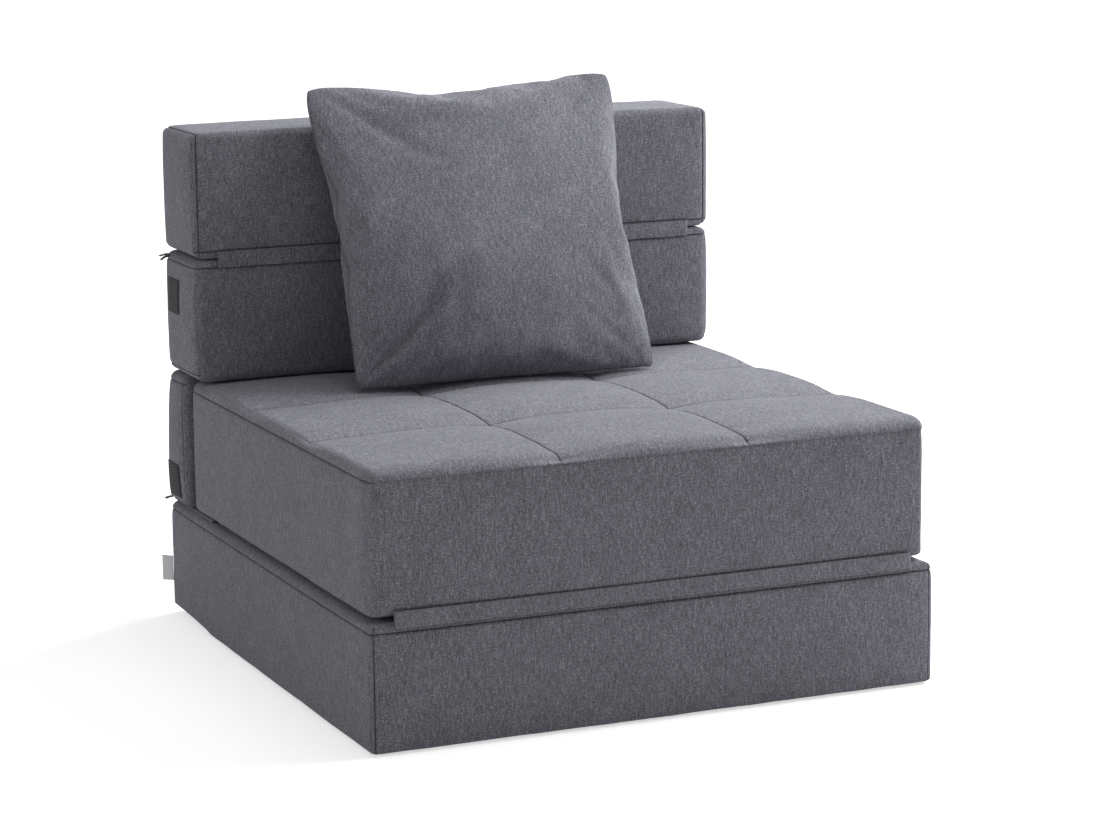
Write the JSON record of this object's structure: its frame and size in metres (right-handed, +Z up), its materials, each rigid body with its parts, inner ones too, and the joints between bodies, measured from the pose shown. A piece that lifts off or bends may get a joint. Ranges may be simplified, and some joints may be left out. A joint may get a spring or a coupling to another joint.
{
  "type": "convertible chair bed",
  "caption": "Low upholstered chair of stacked foam blocks that folds out on cloth hinges to a flat single bed, with a quilted seat and a loose scatter cushion.",
  "frame": {"origin": "middle of the base block's underside, on the floor", "axes": "+Z up, the chair faces -Y, +X to the right seen from the front; the bed folds out along Y"},
  "size_m": [0.7575, 0.7857, 0.7192],
  "materials": {
    "cover_cloth": "woven melange upholstery cloth, matt",
    "hinge_cloth": "the same woven cloth, single layer",
    "cushion_cloth": "the same woven cloth on a soft filling",
    "foam": "cut polyurethane foam",
    "fibre_filling": "polyester fibre",
    "zip_tape": "woven tape with a nylon coil chain",
    "zip_slider": "black enamelled die casting",
    "loop_tape": "loop side of hook-and-loop tape",
    "label_ribbon": "woven satin ribbon"
  },
  "bodies": {
    "seat": {"seat_cover": "cover_cloth", "seat_quilted_top": "cover_cloth", "seat_foam": "foam", "seat_zip_tape": "zip_tape", "rear_hinge_flap": "hinge_cloth", "front_hinge_strip": "hinge_cloth"},
    "base": {"base_cover": "cover_cloth", "base_foam": "foam", "base_zip_tape": "zip_tape", "blank_label_tag": "label_ribbon"},
    "lower_back": {"lower_back_cover": "cover_cloth", "lower_back_foam": "foam", "rear_panel_cover": "cover_cloth", "rear_panel_foam": "foam", "lower_back_zip_tape": "zip_tape", "left_upper_loop_patch": "loop_tape", "left_lower_loop_patch": "loop_tape", "right_upper_loop_patch": "loop_tape", "right_lower_loop_patch": "loop_tape", "back_hinge_strip": "hinge_cloth"},
    "upper_back": {"upper_back_cover": "cover_cloth", "upper_back_foam": "foam", "upper_back_zip_tape": "zip_tape"},
    "cushion": {"cushion_cover": "cushion_cloth", "cushion_filling": "fibre_filling"},
    "base_zip_runner": {"base_zip_slider": "zip_slider"},
    "seat_zip_runner": {"seat_zip_slider": "zip_slider"},
    "lower_back_zip_runner": {"lower_back_zip_slider": "zip_slider"},
    "upper_back_zip_runner": {"upper_back_zip_slider": "zip_slider"}
  },
  "joints": [
    {"name": "base_fold_out", "type": "hinge", "parent": "seat", "child": "base", "pos_m": [0, -0.3881, 0.15665], "axis": [-1, 0, 0], "range_deg": [0, 180], "deforming": ["front_hinge_strip"]},
    {"name": "back_recline", "type": "hinge", "parent": "seat", "child": "lower_back", "pos_m": [0, 0.4015, 0.1578], "axis": [-1, 0, 0], "range_deg": [0, 90], "deforming": ["rear_hinge_flap"]},
    {"name": "upper_back_fold", "type": "hinge", "parent": "lower_back", "child": "upper_back", "pos_m": [0, 0.2379, 0.49908], "axis": [1, 0, 0], "range_deg": [0, 160], "deforming": ["back_hinge_strip"]},
    {"name": "cushion_lift_off", "type": "slide", "parent": "seat", "child": "cushion", "axis": [0, -0.866, 0.5], "range_m": [0, 0.531]},
    {"name": "base_zip_slide", "type": "slide", "parent": "base", "child": "base_zip_runner", "axis": [1, 0, 0], "range_m": [0, 0.6]},
    {"name": "seat_zip_slide", "type": "slide", "parent": "seat", "child": "seat_zip_runner", "axis": [1, 0, 0], "range_m": [0, 0.6]},
    {"name": "lower_back_zip_slide", "type": "slide", "parent": "lower_back", "child": "lower_back_zip_runner", "axis": [1, 0, 0], "range_m": [0, 0.6]},
    {"name": "upper_back_zip_slide", "type": "slide", "parent": "upper_back", "child": "upper_back_zip_runner", "axis": [1, 0, 0], "range_m": [0, 0.6]}
  ],
  "couplings": [
    {"joint": "cushion_lift_off", "follows": "upper_back_fold", "m_per_rad": 0.19}
  ]
}
